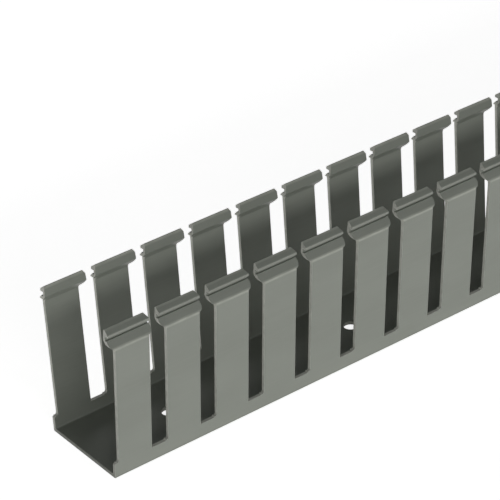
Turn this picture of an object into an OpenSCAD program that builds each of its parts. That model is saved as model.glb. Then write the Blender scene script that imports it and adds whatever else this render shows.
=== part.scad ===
// Slotted wire duct: the open base of a rigid PVC wiring duct, without its cover.
// One extruded length: a flat base and two side walls that lean slightly outwards.
// Slots punched through both walls leave a row of fingers, and every finger ends
// in a hooked head that the cover clips over. A row of round screw holes runs down
// the middle of the base.
// Units are millimetres. X runs along the duct from the sawn end, Y runs across it
// and Z runs up from the underside.

/* [Length and width] */
// Length of the duct, end to end
length = 1828.8;  // [300:0.1:2400]
// Width over the two walls at the underside
base_width = 44.8;  // [25:0.1:120]
// Thickness of the base
base_thickness = 1.7;  // [1.2:0.1:3]
// Thickness of each side wall
wall_thickness = 1.6;  // [1.2:0.1:3]
// Outward lean of each side wall, in degrees
wall_lean = 3;  // [0:0.1:5]
// Radius inside the corner between base and wall
inner_corner_radius = 0.8;  // [0.3:0.1:3]
// Radius outside the corner between base and wall
outer_corner_radius = 0.6;  // [0.2:0.1:3]

/* [Fingers and slots] */
// Distance from one finger to the next
finger_pitch = 25.4;  // [12:0.1:40]
// Width of the open slot between two fingers
slot_width = 8.5;  // [5:0.1:16]
// Height of the solid band left below the slots
band_height = 7.2;  // [4:0.1:20]
// How far the first finger stands back from the sawn end
first_finger_setback = 2;  // [0:0.1:6]
// How far each head reaches past its finger, on each side
head_overhang = 2.1;  // [0.5:0.1:3.5]
// How much each end of a head draws back again towards its top
head_taper = 0.4;  // [0:0.1:1]
// Bevel on the top corner of each head, at the end away from the sawn end
head_bevel = 1.2;  // [0.2:0.1:2]

/* [Hooked heads] */
// Height up the wall from the underside to the shoulder under the head
shoulder_height = 64.8;  // [30:0.1:120]
// Height of the head above the shoulder
head_height = 7.9;  // [7.7:0.1:12]
// Depth of the head, from the wall's outer face inwards
head_depth = 5.4;  // [4.5:0.1:8]
// Height of the sloping band between the shoulder and the groove
seat_height = 3.2;  // [2:0.1:4.5]
// How far that band slopes in from the wall's outer face
seat_inset = 3.2;  // [1.5:0.1:4]
// Height of the groove that the cover's lip catches in
groove_height = 1.6;  // [0.8:0.1:3]
// Depth of the groove, in from the edge of the band below it
groove_depth = 1.0;  // [0.4:0.1:1.8]
// How far the groove's floor drops below that edge
groove_drop = 0.5;  // [0:0.1:1]
// How far the lip stands out past the top edge of that band
lip_reach = 0.9;  // [0:0.1:2]
// Thickness of the lip at its outer edge
lip_thickness = 1.2;  // [0.4:0.1:2]
// How far the slope under the head rises above the shoulder, inside the wall
underside_rise = 2.8;  // [1:0.1:4]
// How far below the shoulder that slope starts
underside_drop = 1.2;  // [0:0.1:3]

/* [Screw holes] */
// Diameter of each screw hole in the base
hole_diameter = 6.6;  // [3:0.1:12]
// Distance from the sawn end to the first screw hole
first_hole_x = 44.1;  // [15:0.1:100]
// Distance between screw holes
hole_spacing = 101.6;  // [40:0.1:300]
// Least distance from the last hole to the far end
hole_end_margin = 20;  // [10:1:100]

/* [Hidden] */
slot_count = floor((length - first_finger_setback + slot_width) / finger_pitch) + 1;
first_slot_x = first_finger_setback - slot_width / 2;
last_slot_x = first_slot_x + (slot_count - 1) * finger_pitch;
hole_count = floor((length - hole_end_margin - first_hole_x) / hole_spacing) + 1;
shoulder_z = shoulder_height * cos(wall_lean);
top_z = (shoulder_height + head_height) * cos(wall_lean) + head_depth * sin(wall_lean);
cut_through = base_width + 2 * (top_z * tan(wall_lean) + 5);
cut_above = 5;
corner_steps = 4;
top_edge = 0.4;
$fn = 48;

// Side view of one slot, centred on x = 0: straight up between the fingers, narrowed
// between the rounded ends of two heads, then slightly wider to the top.
module slot_outline() {
  half_slot = slot_width / 2;
  half_neck = half_slot - head_overhang;
  half_mouth = half_neck + head_taper;
  neck_z = shoulder_z + head_overhang;
  difference() {
    polygon([
      [-half_slot, band_height],
      [half_slot, band_height],
      [half_slot, neck_z],
      [half_neck, neck_z],
      [half_mouth, top_z],
      [half_mouth, top_z + cut_above],
      [-half_mouth - head_bevel, top_z + cut_above],
      [-half_mouth - head_bevel, top_z],
      [-half_mouth, top_z - 1.5 * head_bevel],
      [-half_neck, neck_z],
      [-half_slot, neck_z]
    ]);
    for (side = [-1, 1])
      translate([side * half_slot, neck_z])
        circle(r = head_overhang);
  }
}

// A point of a wall's section, leant out and moved to the right-hand wall. s runs
// inwards from the wall's outer face and v runs up it from the underside.
function leant(s, v) = [
  base_width / 2 + v * sin(wall_lean) - s * cos(wall_lean),
  v * cos(wall_lean) + s * sin(wall_lean)
];

// Points along a round corner, from one angle to the other.
function arc(centre, radius, from, to) = [
  for (i = [0 : corner_steps])
    let (a = from + (to - from) * i / corner_steps)
      centre + radius * [cos(a), sin(a)]
];

// Round corner outside, where the underside turns up into the wall.
function outer_corner() =
  let (r = outer_corner_radius, reach = r * tan((90 - wall_lean) / 2))
    arc([base_width / 2 - reach, r], r, -90, -wall_lean);

// Round corner inside, where the wall's inner face runs into the base.
function inner_corner() =
  let (
    r = inner_corner_radius,
    foot_y = leant(wall_thickness, 0)[0] + (base_thickness - leant(wall_thickness, 0)[1])
      * tan(wall_lean),
    reach = r / tan((90 + wall_lean) / 2)
  )
    arc([foot_y - reach, base_thickness + r], r, -wall_lean, -90);

// Hooked head: up the outer face, over the sloping seat, into the groove, round the
// lip, up the sloping top and down the inside to the finger.
function head() =
  let (
    seat_v = shoulder_height + seat_height,
    groove_v = seat_v + groove_height,
    top_v = shoulder_height + head_height,
    groove_s = seat_inset + groove_depth,
    lip_s = seat_inset - lip_reach
  ) [
    leant(0, shoulder_height),
    leant(seat_inset, seat_v),
    leant(groove_s, seat_v - groove_drop),
    leant(groove_s, groove_v),
    leant(lip_s, groove_v),
    leant(lip_s, groove_v + lip_thickness),
    leant(head_depth - top_edge, top_v),
    leant(head_depth, top_v - top_edge),
    leant(head_depth, shoulder_height + underside_rise),
    leant(wall_thickness, shoulder_height - underside_drop)
  ];

// Right-hand half of the section, from the underside to the floor of the channel.
function half_section() = concat(outer_corner(), head(), inner_corner());

function mirrored(points) = [
  for (i = [len(points) - 1 : -1 : 0])
    [-points[i][0], points[i][1]]
];

// Full cross-section, in y and z.
module duct_section() {
  polygon(concat(half_section(), mirrored(half_section())));
}

// What the saw leaves loose past the middle of the last slot.
module end_slot_waste() {
  translate([last_slot_x, -cut_through / 2, band_height])
    cube([finger_pitch, cut_through, top_z + cut_above - band_height]);
}

// The whole duct: one extrusion, punched and drilled.
module slotted_duct() {
  color([0.53, 0.54, 0.50])
    difference() {
      rotate([90, 0, 90])
        linear_extrude(height = length)
          duct_section();
      for (i = [0 : slot_count - 1])
        translate([first_slot_x + i * finger_pitch, cut_through / 2, 0])
          rotate([90, 0, 0])
            linear_extrude(height = cut_through)
              slot_outline();
      if (last_slot_x < length)
        end_slot_waste();
      for (i = [0 : hole_count - 1])
        translate([first_hole_x + i * hole_spacing, 0, -1])
          cylinder(d = hole_diameter, h = base_thickness + 2);
    }
}

translate([-length / 2, 0, 0]) {
  slotted_duct();
}
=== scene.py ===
"""Slotted wire duct: a grey PVC wiring duct without its cover, on a pale studio floor.

The solid model is the frame. Here the duct is made again with its edges eased, from
the same sizes: one stretch of duct, a finger long, is extruded, punched and chamfered,
and Geometry Nodes repeat it from end to end. X runs along the duct from the sawn end,
Y across it and Z up from the underside.
"""

import math

import bmesh
import bpy
from mathutils import Matrix, Vector


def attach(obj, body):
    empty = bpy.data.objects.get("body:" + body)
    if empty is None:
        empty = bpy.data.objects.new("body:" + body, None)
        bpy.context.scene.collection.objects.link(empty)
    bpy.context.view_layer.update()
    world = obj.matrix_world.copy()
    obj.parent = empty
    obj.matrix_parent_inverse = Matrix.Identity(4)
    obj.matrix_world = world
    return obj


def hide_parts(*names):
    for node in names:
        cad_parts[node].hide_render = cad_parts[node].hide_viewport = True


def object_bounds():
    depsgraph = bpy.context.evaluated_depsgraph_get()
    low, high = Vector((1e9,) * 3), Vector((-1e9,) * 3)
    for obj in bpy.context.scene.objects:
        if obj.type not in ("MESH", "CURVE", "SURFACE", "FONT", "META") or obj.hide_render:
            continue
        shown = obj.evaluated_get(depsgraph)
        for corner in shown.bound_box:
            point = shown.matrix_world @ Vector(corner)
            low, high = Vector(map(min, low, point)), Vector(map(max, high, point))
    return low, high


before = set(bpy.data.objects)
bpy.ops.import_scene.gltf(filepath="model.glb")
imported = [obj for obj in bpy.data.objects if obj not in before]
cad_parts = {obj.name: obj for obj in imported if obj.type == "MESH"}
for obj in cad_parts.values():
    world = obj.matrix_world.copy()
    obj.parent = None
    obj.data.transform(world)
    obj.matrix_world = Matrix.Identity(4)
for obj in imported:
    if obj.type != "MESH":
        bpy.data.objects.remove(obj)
cad_low, cad_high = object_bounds()

MM = 0.001

# ---- Sizes of the duct ----------------------------------------------------------

START, END = cad_low.x, cad_high.x

BASE_WIDTH = 44.8 * MM
BASE_THICKNESS = 1.7 * MM
WALL_THICKNESS = 1.6 * MM
WALL_LEAN = math.radians(3)
INNER_CORNER_RADIUS = 0.8 * MM
OUTER_CORNER_RADIUS = 0.6 * MM

FINGER_PITCH = 25.4 * MM
SLOT_WIDTH = 8.5 * MM
BAND_HEIGHT = 7.2 * MM
FIRST_FINGER_SETBACK = 2.0 * MM
HEAD_OVERHANG = 2.1 * MM
HEAD_TAPER = 0.4 * MM
HEAD_BEVEL = 1.2 * MM
BEVEL_STEEPNESS = 1.5

SHOULDER_HEIGHT = 64.8 * MM
HEAD_HEIGHT = 7.9 * MM
HEAD_DEPTH = 5.4 * MM
SEAT_HEIGHT = 3.2 * MM
SEAT_INSET = 3.2 * MM
GROOVE_HEIGHT = 1.6 * MM
GROOVE_DEPTH = 1.0 * MM
GROOVE_DROP = 0.5 * MM
LIP_REACH = 0.9 * MM
LIP_THICKNESS = 1.2 * MM
UNDERSIDE_RISE = 2.8 * MM
UNDERSIDE_DROP = 1.2 * MM
TOP_EDGE = 0.4 * MM

HOLE_DIAMETER = 6.6 * MM
FIRST_HOLE = 44.1 * MM
HOLES_EVERY = 4

SHOULDER_Z = SHOULDER_HEIGHT * math.cos(WALL_LEAN)
TOP_Z = cad_high.z

# Chamfer that the punch, the drill and the saw leave on their edges.
CUT_CHAMFER = 0.22 * MM
# Scrap that the punch leaves in the far lower corner of each slot.
BURR_WIDTH = 1.6 * MM
BURR_HEIGHT = 1.0 * MM
# Facets round each screw hole.
HOLE_FACETS = 32
# How far a cutter runs past what it cuts.
CLEAR = 6 * MM
# Largest turn from one facet of a round to the next.
FACET_TURN = math.radians(24)
# Points nearer than this are joined into one.
WELD = 0.004 * MM

# Material slot of the cut faces. The extruded skin is slot 0.
CUT_SLOT = 1


# ---- Small helpers --------------------------------------------------------------

def node(tree, kind, links=None, **settings):
    """Adds a node, sets its settings, and sets or links its inputs by name or number."""
    made = tree.nodes.new(kind)
    for name, value in settings.items():
        setattr(made, name, value)
    for name, value in (links or {}).items():
        if isinstance(value, bpy.types.NodeSocket):
            tree.links.new(value, made.inputs[name])
        else:
            made.inputs[name].default_value = value
    return made


def colour(hex_code):
    """Turns an sRGB hex colour into the linear one that the shaders take."""
    def linear(channel):
        value = int(channel, 16) / 255
        return value / 12.92 if value <= 0.04045 else ((value + 0.055) / 1.055) ** 2.4
    return (*(linear(hex_code[i:i + 2]) for i in (1, 3, 5)), 1.0)


def new_object(name, mesh):
    made = bpy.data.objects.new(name, mesh)
    bpy.context.collection.objects.link(made)
    return made


def finished_mesh(thing):
    """The mesh of an object with its modifiers applied."""
    seen = thing.evaluated_get(bpy.context.evaluated_depsgraph_get())
    return bpy.data.meshes.new_from_object(seen)


# ---- Cross-section --------------------------------------------------------------

def leant(inwards, up):
    """A point of the right-hand wall: inwards from its outer face, and up it."""
    return Vector((
        BASE_WIDTH / 2 + up * math.sin(WALL_LEAN) - inwards * math.cos(WALL_LEAN),
        up * math.cos(WALL_LEAN) + inwards * math.sin(WALL_LEAN),
    ))


def rounded(corners):
    """Points of an open outline, with an arc of the given radius at each corner."""
    points = []
    for i, (corner, radius) in enumerate(corners):
        before = (corners[i - 1][0] - corner).normalized()
        after = (corners[(i + 1) % len(corners)][0] - corner).normalized()
        opening = before.angle(after)
        turn = math.pi - opening
        if not radius:
            points.append(corner)
            continue
        reach = radius / math.tan(opening / 2)
        centre = corner + (before + after).normalized() * radius / math.sin(opening / 2)
        start = corner + before * reach - centre
        way = 1 if before.x * after.y - before.y * after.x < 0 else -1
        steps = max(1, math.ceil(turn / FACET_TURN))
        for k in range(steps + 1):
            points.append(centre + Matrix.Rotation(way * turn * k / steps, 2) @ start)
    return points


def section():
    """The whole cross-section, in y and z, counter-clockwise."""
    seat = SHOULDER_HEIGHT + SEAT_HEIGHT
    groove = seat + GROOVE_HEIGHT
    top = SHOULDER_HEIGHT + HEAD_HEIGHT
    groove_floor = SEAT_INSET + GROOVE_DEPTH
    lip = SEAT_INSET - LIP_REACH
    foot = leant(WALL_THICKNESS, 0)
    foot.x += (BASE_THICKNESS - foot.y) * math.tan(WALL_LEAN)
    foot.y = BASE_THICKNESS
    right = rounded([
        (Vector((0, 0)), 0),
        (leant(0, 0), OUTER_CORNER_RADIUS),
        (leant(0, SHOULDER_HEIGHT), 0.9 * MM),
        (leant(SEAT_INSET, seat), 0.2 * MM),
        (leant(groove_floor, seat - GROOVE_DROP), 0.2 * MM),
        (leant(groove_floor, groove), 0.2 * MM),
        (leant(lip, groove), 0.2 * MM),
        (leant(lip, groove + LIP_THICKNESS), 0.4 * MM),
        (leant(HEAD_DEPTH - TOP_EDGE, top), 0.3 * MM),
        (leant(HEAD_DEPTH, top - TOP_EDGE), 0.3 * MM),
        (leant(HEAD_DEPTH, SHOULDER_HEIGHT + UNDERSIDE_RISE), 0.3 * MM),
        (leant(WALL_THICKNESS, SHOULDER_HEIGHT - UNDERSIDE_DROP), 2.0 * MM),
        (foot, INNER_CORNER_RADIUS),
        (Vector((0, BASE_THICKNESS)), 0),
    ])[1:-1]
    return right + [Vector((-p.x, p.y)) for p in reversed(right)]


# ---- Cutters --------------------------------------------------------------------

def slot_outline(centre):
    """Side view of one slot, in x and z: straight between the fingers, narrowed by
    the rounded ends of two heads, then wider to the top. A slot that the far end cuts
    through has no finger beyond it, so it is open past that end."""
    half_slot = SLOT_WIDTH / 2
    half_neck = half_slot - HEAD_OVERHANG
    half_mouth = half_neck + HEAD_TAPER
    neck_z = SHOULDER_Z + HEAD_OVERHANG
    above = TOP_Z + CLEAR
    steps = math.ceil(math.pi / 2 / FACET_TURN)
    turns = [math.pi / 2 * k / steps for k in range(steps + 1)]
    rounding = [
        (half_slot - HEAD_OVERHANG * math.sin(a), neck_z - HEAD_OVERHANG * math.cos(a))
        for a in turns
    ]
    burr = [
        (half_slot - BURR_WIDTH, BAND_HEIGHT),
        (half_slot - 0.8 * BURR_WIDTH, BAND_HEIGHT + 0.6 * BURR_HEIGHT),
        (half_slot - 0.4 * BURR_WIDTH, BAND_HEIGHT + 0.35 * BURR_HEIGHT),
        (half_slot, BAND_HEIGHT + BURR_HEIGHT),
    ]
    right = burr + rounding
    right += [(half_mouth, TOP_Z), (half_mouth, above)]
    if centre + half_slot > END:
        right = [(END + CLEAR - centre, BAND_HEIGHT), (END + CLEAR - centre, above)]
    left = [(-half_slot, BAND_HEIGHT)] + [(-x, z) for x, z in rounding]
    left += [
        (-half_mouth, TOP_Z - BEVEL_STEEPNESS * HEAD_BEVEL),
        (-half_mouth - HEAD_BEVEL, TOP_Z),
        (-half_mouth - HEAD_BEVEL, above),
    ]
    return [Vector((centre + x, z)) for x, z in right + left[::-1]]


def add_prism(mesh, loop, shift):
    """Adds a closed prism: a loop of points and the same loop shifted."""
    near = [mesh.verts.new(p) for p in loop]
    far = [mesh.verts.new(p + shift) for p in loop]
    mesh.faces.new(near)
    mesh.faces.new(far[::-1])
    for i, vertex in enumerate(near):
        j = (i + 1) % len(near)
        mesh.faces.new((vertex, far[i], far[j], near[j]))


def cutters(slots, holes):
    """One mesh of everything that a stretch has cut out of it."""
    mesh = bmesh.new()
    across = Vector((0, cad_high.y - cad_low.y + 2 * CLEAR, 0))
    side = cad_low.y - CLEAR
    for centre in slots:
        add_prism(mesh, [Vector((p.x, side, p.y)) for p in slot_outline(centre)], across)
    for centre in holes:
        rim = [
            Vector((
                centre + HOLE_DIAMETER / 2 * math.cos(a),
                HOLE_DIAMETER / 2 * math.sin(a),
                -CLEAR,
            ))
            for a in (math.tau * k / HOLE_FACETS for k in range(HOLE_FACETS))
        ]
        add_prism(mesh, rim, Vector((0, 0, 2 * CLEAR)))
    bmesh.ops.recalc_face_normals(mesh, faces=mesh.faces)
    for face in mesh.faces:
        face.material_index = CUT_SLOT
    return mesh


# ---- Stretches of duct ----------------------------------------------------------

def to_mesh(name, mesh):
    made = bpy.data.meshes.new(name)
    mesh.to_mesh(made)
    mesh.free()
    for material in (extruded_pvc, cut_pvc):
        made.materials.append(material)
    return made


def stretch(name, start, end, slots, holes=()):
    """A length of duct from one seam or sawn end to the next, punched, drilled and
    with its cut edges chamfered. A seam is left open so that the next length joins."""
    blank = bmesh.new()
    loop = [Vector((start, p.x, p.y)) for p in section()]
    add_prism(blank, loop, Vector((end - start, 0, 0)))
    bmesh.ops.recalc_face_normals(blank, faces=blank.faces)
    made = new_object(name, to_mesh(name, blank))
    tool = new_object(name + "_tool", to_mesh(name + "_tool", cutters(slots, holes)))
    cut = made.modifiers.new("punch", "BOOLEAN")
    cut.object = tool
    cut.operation = "DIFFERENCE"
    cut.solver = "EXACT"
    cut.material_mode = "INDEX"
    punched = finished_mesh(made)
    made.modifiers.remove(cut)
    bpy.data.objects.remove(tool)

    shaped = bmesh.new()
    shaped.from_mesh(punched)
    bmesh.ops.remove_doubles(shaped, verts=shaped.verts, dist=WELD)
    seams = []
    for face in shaped.faces:
        for end_x, sawn in ((start, start == START), (end, end == END)):
            if all(abs(v.co.x - end_x) < WELD for v in face.verts):
                face.material_index = CUT_SLOT
                if not sawn:
                    seams.append(face)
    bmesh.ops.delete(shaped, geom=seams, context="FACES_ONLY")
    loose = [e for e in shaped.edges if not e.link_faces]
    bmesh.ops.delete(shaped, geom=loose, context="EDGES")
    cut_edges = [
        e for e in shaped.edges
        if len(e.link_faces) == 2
        and e.calc_face_angle() > math.radians(40)
        and CUT_SLOT in (f.material_index for f in e.link_faces)
    ]
    bmesh.ops.bevel(
        shaped, geom=cut_edges, offset=CUT_CHAMFER, segments=1, affect="EDGES",
        clamp_overlap=True, material=CUT_SLOT,
    )
    made.data = to_mesh(name, shaped)
    return made


# ---- Materials ------------------------------------------------------------------

def pattern(tree, size, detail, stretch_x=1.0, roughness=0.5):
    """Noise whose grains are the given size in metres, drawn out along the duct."""
    where = node(tree, "ShaderNodeTexCoord").outputs["Object"]
    scaled = node(tree, "ShaderNodeMapping", {
        "Vector": where,
        "Scale": (1 / (size * stretch_x), 1 / size, 1 / size),
    })
    return node(tree, "ShaderNodeTexNoise", {
        "Vector": scaled.outputs[0], "Scale": 1.0, "Detail": detail, "Roughness": roughness,
    }).outputs["Fac"]


def spread(tree, value, low, high, to_low, to_high):
    """Maps a value from one range to another, held at the ends."""
    return node(tree, "ShaderNodeMapRange", {
        "Value": value, "From Min": low, "From Max": high, "To Min": to_low, "To Max": to_high,
    }).outputs[0]


def blend(tree, share, first, second):
    mixed = node(tree, "ShaderNodeMix", {"Factor": share}, data_type="RGBA")
    for socket, value in ((mixed.inputs[6], first), (mixed.inputs[7], second)):
        if isinstance(value, bpy.types.NodeSocket):
            tree.links.new(value, socket)
        else:
            socket.default_value = value
    return mixed.outputs[2]


def near_line(tree, y, z, reach):
    """1 on a line that runs along both walls at this y and z, falling to 0 around it."""
    where = node(tree, "ShaderNodeSeparateXYZ", {
        0: node(tree, "ShaderNodeTexCoord").outputs["Object"],
    })
    side = node(tree, "ShaderNodeMath", {0: where.outputs[1]}, operation="ABSOLUTE")
    flat = node(tree, "ShaderNodeCombineXYZ", {1: side.outputs[0], 2: where.outputs[2]})
    away = node(tree, "ShaderNodeVectorMath", {
        0: flat.outputs[0], 1: (0.0, y, z),
    }, operation="DISTANCE")
    return spread(tree, away.outputs["Value"], 0, reach, 1, 0)


def surface(name):
    """A new material with an empty node tree and its shader."""
    made = bpy.data.materials.new(name)
    made.use_nodes = True
    made.node_tree.nodes.clear()
    shader = node(made.node_tree, "ShaderNodeBsdfPrincipled")
    out = node(made.node_tree, "ShaderNodeOutputMaterial")
    made.node_tree.links.new(shader.outputs[0], out.inputs[0])
    return made, made.node_tree, shader


def make_extruded_pvc():
    """Rigid PVC as it leaves the die: an even mid grey with a dull satin skin, faint
    lines drawn along the length and slow changes of tone where it cooled. A painted
    highlight, a paler colour, runs along the shoulder, the lip and the top of each head."""
    made, tree, shader = surface("extruded_pvc")
    cloud = pattern(tree, 14 * MM, 3, stretch_x=3)
    lines = pattern(tree, 0.9 * MM, 2, stretch_x=60)
    grain = pattern(tree, 0.35 * MM, 2)
    base = blend(tree, spread(tree, cloud, 0.35, 0.65, 0, 1), colour("#82867D"), colour("#878B82"))
    toned = blend(tree, spread(tree, lines, 0.45, 0.75, 0, 0.15), base, colour("#94958C"))
    # Painted highlight: lines along the shoulder, the lip and the top of each head get a paler
    # colour, which stands in for the light that those edges catch.
    lip = leant(SEAT_INSET - LIP_REACH, SHOULDER_HEIGHT + HEAD_HEIGHT - 1.7 * MM)
    top = leant(HEAD_DEPTH, SHOULDER_HEIGHT + HEAD_HEIGHT)
    painted_highlight = near_line(tree, *leant(0, SHOULDER_HEIGHT), 1.1 * MM)
    for line, reach, amount in ((lip, 0.5 * MM, 0.5), (top, 1.6 * MM, 0.9)):
        weaker_highlight = node(tree, "ShaderNodeMath", {
            0: near_line(tree, *line, reach), 1: amount,
        }, operation="MULTIPLY").outputs[0]
        painted_highlight = node(tree, "ShaderNodeMath", {0: painted_highlight, 1: weaker_highlight}, operation="MAXIMUM").outputs[0]
    patchy = spread(tree, pattern(tree, 1.5 * MM, 2, stretch_x=4), 0.3, 0.6, 0.5, 1)
    share = node(tree, "ShaderNodeMath", {0: painted_highlight, 1: patchy}, operation="MULTIPLY")
    # Mixes in #B2B4A9, the pale colour of the painted highlight, broken up by noise.
    with_highlight = blend(tree, share.outputs[0], toned, colour("#B2B4A9"))
    tree.links.new(with_highlight, shader.inputs["Base Color"])
    gloss = node(tree, "ShaderNodeMath", {0: cloud, 1: lines}, operation="MULTIPLY").outputs[0]
    tree.links.new(spread(tree, gloss, 0.1, 0.4, 0.40, 0.52), shader.inputs["Roughness"])
    raised = node(tree, "ShaderNodeMath", {0: lines, 1: grain}, operation="ADD").outputs[0]
    bump = node(tree, "ShaderNodeBump", {"Strength": 0.15, "Distance": 0.03 * MM, "Height": raised})
    tree.links.new(bump.outputs[0], shader.inputs["Normal"])
    shader.inputs["IOR"].default_value = 1.53
    return made


def make_cut_pvc():
    """PVC where a punch, drill or saw went through: paler, because the plastic whitens
    where it is strained, and dull, with fine tears across the cut."""
    made, tree, shader = surface("cut_pvc")
    tear = pattern(tree, 0.5 * MM, 3, roughness=0.7)
    blotch = pattern(tree, 3 * MM, 2)
    base = blend(tree, spread(tree, blotch, 0.35, 0.65, 0, 1), colour("#B2B3AA"), colour("#C0C1B8"))
    toned = blend(tree, spread(tree, tear, 0.5, 0.75, 0, 0.5), base, colour("#CBCCC3"))
    tree.links.new(toned, shader.inputs["Base Color"])
    tree.links.new(spread(tree, tear, 0.3, 0.7, 0.55, 0.75), shader.inputs["Roughness"])
    bump = node(tree, "ShaderNodeBump", {"Strength": 0.5, "Distance": 0.06 * MM, "Height": tear})
    tree.links.new(bump.outputs[0], shader.inputs["Normal"])
    shader.inputs["IOR"].default_value = 1.53
    return made


extruded_pvc = make_extruded_pvc()
cut_pvc = make_cut_pvc()


# ---- The duct, repeated from end to end -------------------------------------------

def repeat_tree():
    """Geometry Nodes: a row of plain and drilled stretches between two ends, welded."""
    tree = bpy.data.node_groups.new("duct_row", "GeometryNodeTree")
    sockets = (
        ("Plain stretch", "NodeSocketObject"),
        ("Drilled stretch", "NodeSocketObject"),
        ("Ends", "NodeSocketObject"),
        ("Stretches", "NodeSocketInt"),
        ("First seam", "NodeSocketVector"),
        ("Step", "NodeSocketVector"),
        ("Drilled every", "NodeSocketInt"),
        ("First drilled", "NodeSocketInt"),
        ("Weld", "NodeSocketFloat"),
        ("Skin", "NodeSocketMaterial"),
        ("Cut", "NodeSocketMaterial"),
    )
    for name, kind in sockets:
        tree.interface.new_socket(name, in_out="INPUT", socket_type=kind)
    tree.interface.new_socket("Duct", in_out="OUTPUT", socket_type="NodeSocketGeometry")
    given = node(tree, "NodeGroupInput").outputs
    row = node(tree, "GeometryNodeMeshLine", {
        "Count": given["Stretches"], "Start Location": given["First seam"],
        "Offset": given["Step"],
    }, mode="OFFSET")
    place = node(tree, "FunctionNodeIntegerMath", {
        0: node(tree, "GeometryNodeInputIndex").outputs[0], 1: given["Drilled every"],
    }, operation="MODULO")
    drilled = node(tree, "FunctionNodeCompare", {
        2: place.outputs[0], 3: given["First drilled"],
    }, data_type="INT", operation="EQUAL")
    plain = node(tree, "FunctionNodeBooleanMath", {0: drilled.outputs[0]}, operation="NOT")
    joined = node(tree, "GeometryNodeJoinGeometry")
    for name, chosen in (("Plain stretch", plain), ("Drilled stretch", drilled)):
        shape = node(tree, "GeometryNodeObjectInfo", {"Object": given[name]})
        set_out = node(tree, "GeometryNodeInstanceOnPoints", {
            "Points": row.outputs[0], "Selection": chosen.outputs[0],
            "Instance": shape.outputs["Geometry"],
        })
        tree.links.new(set_out.outputs[0], joined.inputs[0])
    ends = node(tree, "GeometryNodeObjectInfo", {"Object": given["Ends"]})
    tree.links.new(ends.outputs["Geometry"], joined.inputs[0])
    real = node(tree, "GeometryNodeRealizeInstances", {0: joined.outputs[0]})
    welded = node(tree, "GeometryNodeMergeByDistance", {
        "Geometry": real.outputs[0], "Distance": given["Weld"],
    })
    is_cut = node(tree, "FunctionNodeCompare", {
        2: node(tree, "GeometryNodeInputMaterialIndex").outputs[0], 3: CUT_SLOT,
    }, data_type="INT", operation="EQUAL")
    skin = node(tree, "GeometryNodeSetMaterial", {
        "Geometry": welded.outputs[0],
        "Selection": node(tree, "FunctionNodeBooleanMath", {0: is_cut.outputs[0]},
                          operation="NOT").outputs[0],
        "Material": given["Skin"],
    })
    cut = node(tree, "GeometryNodeSetMaterial", {
        "Geometry": skin.outputs[0], "Selection": is_cut.outputs[0], "Material": given["Cut"],
    })
    node(tree, "NodeGroupOutput", {0: cut.outputs[0]})
    return tree


def make_duct():
    slot_0 = START + FIRST_FINGER_SETBACK - SLOT_WIDTH / 2
    stretches = math.floor((END - slot_0) / FINGER_PITCH)
    # The last slot whose far side is still inside the duct's length.
    last = stretches if slot_0 + stretches * FINGER_PITCH + SLOT_WIDTH / 2 < END else stretches - 1
    seam_1 = slot_0 + FINGER_PITCH
    last_seam = slot_0 + last * FINGER_PITCH

    def holes_between(low, high):
        count = int((END - START) / (HOLES_EVERY * FINGER_PITCH)) + 1
        spots = [START + FIRST_HOLE + i * HOLES_EVERY * FINGER_PITCH for i in range(count)]
        return [x for x in spots if low < x < high]

    plain = stretch("plain_stretch", 0, FINGER_PITCH, (0, FINGER_PITCH))
    hole = FIRST_HOLE + START - seam_1
    first_drilled = math.floor(hole / FINGER_PITCH)
    drilled = stretch(
        "drilled_stretch", 0, FINGER_PITCH, (0, FINGER_PITCH),
        holes=(hole - first_drilled * FINGER_PITCH,),
    )
    sawn = stretch("sawn_end", START, seam_1, (slot_0, seam_1), holes_between(START, seam_1))
    far_slots = (last_seam, last_seam + FINGER_PITCH)
    far = stretch("far_end", last_seam, END, far_slots, holes_between(last_seam, END))
    ends = bmesh.new()
    ends.from_mesh(sawn.data)
    ends.from_mesh(far.data)
    end_pair = new_object("ends", to_mesh("ends", ends))

    tree = repeat_tree()
    row = new_object("duct_row", bpy.data.meshes.new("duct_row"))
    repeat = row.modifiers.new("repeat", "NODES")
    repeat.node_group = tree
    wanted = {
        "Plain stretch": plain, "Drilled stretch": drilled, "Ends": end_pair,
        "Stretches": last - 1,
        "First seam": (seam_1, 0.0, 0.0),
        "Step": (FINGER_PITCH, 0.0, 0.0),
        "Drilled every": HOLES_EVERY, "First drilled": first_drilled,
        "Weld": WELD, "Skin": extruded_pvc, "Cut": cut_pvc,
    }
    for item in tree.interface.items_tree:
        if item.in_out == "INPUT":
            repeat[item.identifier] = wanted[item.name]
    made = new_object("wire_duct", finished_mesh(row))
    for spare in (plain, drilled, sawn, far, end_pair, row):
        bpy.data.objects.remove(spare)
    made.data.set_sharp_from_angle(angle=math.radians(50))
    weighted = made.modifiers.new("even_normals", "WEIGHTED_NORMAL")
    weighted.keep_sharp = True
    made.data = finished_mesh(made)
    made.modifiers.clear()
    return made


duct = make_duct()
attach(duct, "root")
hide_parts("slotted_duct")


# ---- Floor, light and camera ------------------------------------------------------

# Half the side of the square floor, in metres, as are the lamps' sizes below.
FLOOR_REACH = 6
# Reflectors lie on the floor and start just clear of each wall's foot.
REFLECTOR_DEPTH = 1.2
REFLECTOR_PAST_ENDS = 1.0
REFLECTOR_GAP = 0.2 * MM
REFLECTOR_LIFT = 0.3 * MM
# The long soft boxes in front and behind, and how far they stand off and up.
SOFT_BOX_LENGTH = 3.4
SOFT_BOX_HEIGHT = 0.5
SOFT_BOX_OFF = 2.25
SOFT_BOX_UP = 0.8

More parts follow.
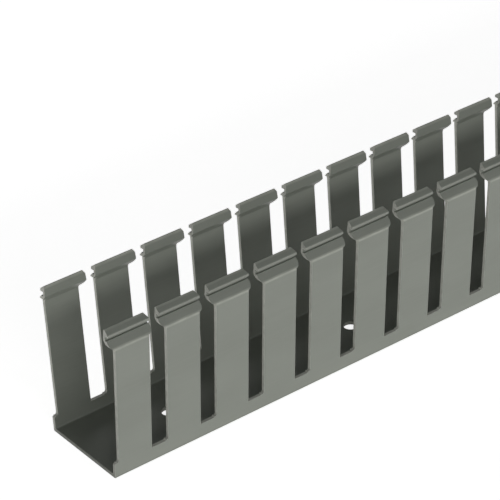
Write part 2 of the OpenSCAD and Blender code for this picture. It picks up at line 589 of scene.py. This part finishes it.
def make_floor():
    """A smooth pale floor that shows white to the camera and keeps the duct's shadow."""
    mesh = bmesh.new()
    bmesh.ops.create_grid(mesh, x_segments=1, y_segments=1, size=FLOOR_REACH)
    shape = bpy.data.meshes.new("studio_floor")
    mesh.to_mesh(shape)
    mesh.free()
    floor = new_object("studio_floor", shape)
    made, tree, shader = surface("pale_floor")
    shader.inputs["Base Color"].default_value = colour("#E4E4E2")
    shader.inputs["Roughness"].default_value = 0.8
    from_duct = node(tree, "ShaderNodeVectorMath", {
        0: node(tree, "ShaderNodeTexCoord").outputs["Object"],
    }, operation="LENGTH").outputs["Value"]
    glow = node(tree, "ShaderNodeEmission", {
        "Color": (1, 1, 1, 1), "Strength": spread(tree, from_duct, 1.2, 2.6, 0.85, 1.0),
    })
    lit = node(tree, "ShaderNodeAddShader", {0: shader.outputs[0], 1: glow.outputs[0]})
    seen = node(tree, "ShaderNodeLightPath").outputs["Is Camera Ray"]
    mix = node(tree, "ShaderNodeMixShader", {0: seen, 1: shader.outputs[0], 2: lit.outputs[0]})
    out = [n for n in tree.nodes if n.type == "OUTPUT_MATERIAL"][0]
    tree.links.new(mix.outputs[0], out.inputs[0])
    shape.materials.append(made)


def soft_box(name, place, aim, width, height, brightness):
    """A soft lamp whose face is as bright as the given share of white."""
    light = bpy.data.lights.new(name, "AREA")
    light.shape = "RECTANGLE"
    light.size, light.size_y = width, height
    light.energy = math.pi * width * height * brightness
    made = bpy.data.objects.new(name, light)
    bpy.context.collection.objects.link(made)
    made.location = place
    made.rotation_euler = (Vector(aim) - Vector(place)).to_track_quat("-Z", "Y").to_euler()


def make_light():
    """A dim even room, a low reflector along each side of the duct, a long soft box in
    front, a weaker one behind and one to the left, so that the walls stand out from the
    shaded channel."""
    world = bpy.data.worlds.new("studio")
    bpy.context.scene.world = world
    world.use_nodes = True
    tree = world.node_tree
    tree.nodes.clear()
    room = node(tree, "ShaderNodeBackground", {"Color": colour("#F4F7FF"), "Strength": 0.05})
    white = node(tree, "ShaderNodeBackground", {"Color": (1, 1, 1, 1), "Strength": 1.0})
    seen = node(tree, "ShaderNodeLightPath").outputs["Is Camera Ray"]
    mix = node(tree, "ShaderNodeMixShader", {0: seen, 1: room.outputs[0], 2: white.outputs[0]})
    node(tree, "ShaderNodeOutputWorld", {0: mix.outputs[0]})
    length = END - START + 2 * REFLECTOR_PAST_ENDS
    off = BASE_WIDTH / 2 + REFLECTOR_GAP + REFLECTOR_DEPTH / 2
    for name, way, brightness in (("front_reflector", -1, 0.64), ("back_reflector", 1, 0.9)):
        place = Vector((0, way * off, REFLECTOR_LIFT))
        soft_box(name, place, place + Vector((0, 0, 1)), length, REFLECTOR_DEPTH, brightness)
    middle = Vector((START + 0.4, 0, 0.05))
    for name, way, brightness in (("front", -1, 4.8), ("back", 1, 2.6)):
        place = middle + Vector((0, way * SOFT_BOX_OFF, SOFT_BOX_UP))
        soft_box(name, place, middle, SOFT_BOX_LENGTH, SOFT_BOX_HEIGHT, brightness)
    end = Vector((START, 0, 0.05))
    soft_box("left", end + Vector((-1.4, -0.8, 0.25)), end, 0.6, 0.45, 3.5)


def make_camera():
    """A long lens from the front left of the sawn end, looking down along the duct."""
    place = Vector((START, 0, 0)) + Vector((-446.5, -706.1, 607.2)) * MM
    turn, tilt, roll = math.radians(37.26), math.radians(-31.5), math.radians(-2.0)
    ahead = Vector((
        math.sin(turn) * math.cos(tilt), math.cos(turn) * math.cos(tilt), math.sin(tilt),
    ))
    level = Vector((math.cos(turn), -math.sin(turn), 0))
    over = level.cross(ahead)
    right = math.cos(roll) * level + math.sin(roll) * over
    up = math.cos(roll) * over - math.sin(roll) * level
    lens = bpy.data.cameras.new("camera")
    lens.lens, lens.sensor_width = 177, 36
    made = bpy.data.objects.new("camera", lens)
    bpy.context.collection.objects.link(made)
    made.matrix_world = Matrix.Translation(place) @ Matrix((right, up, -ahead)).transposed().to_4x4()
    bpy.context.scene.camera = made


make_floor()
make_light()
make_camera()
bpy.context.scene.view_settings.view_transform = "Standard"
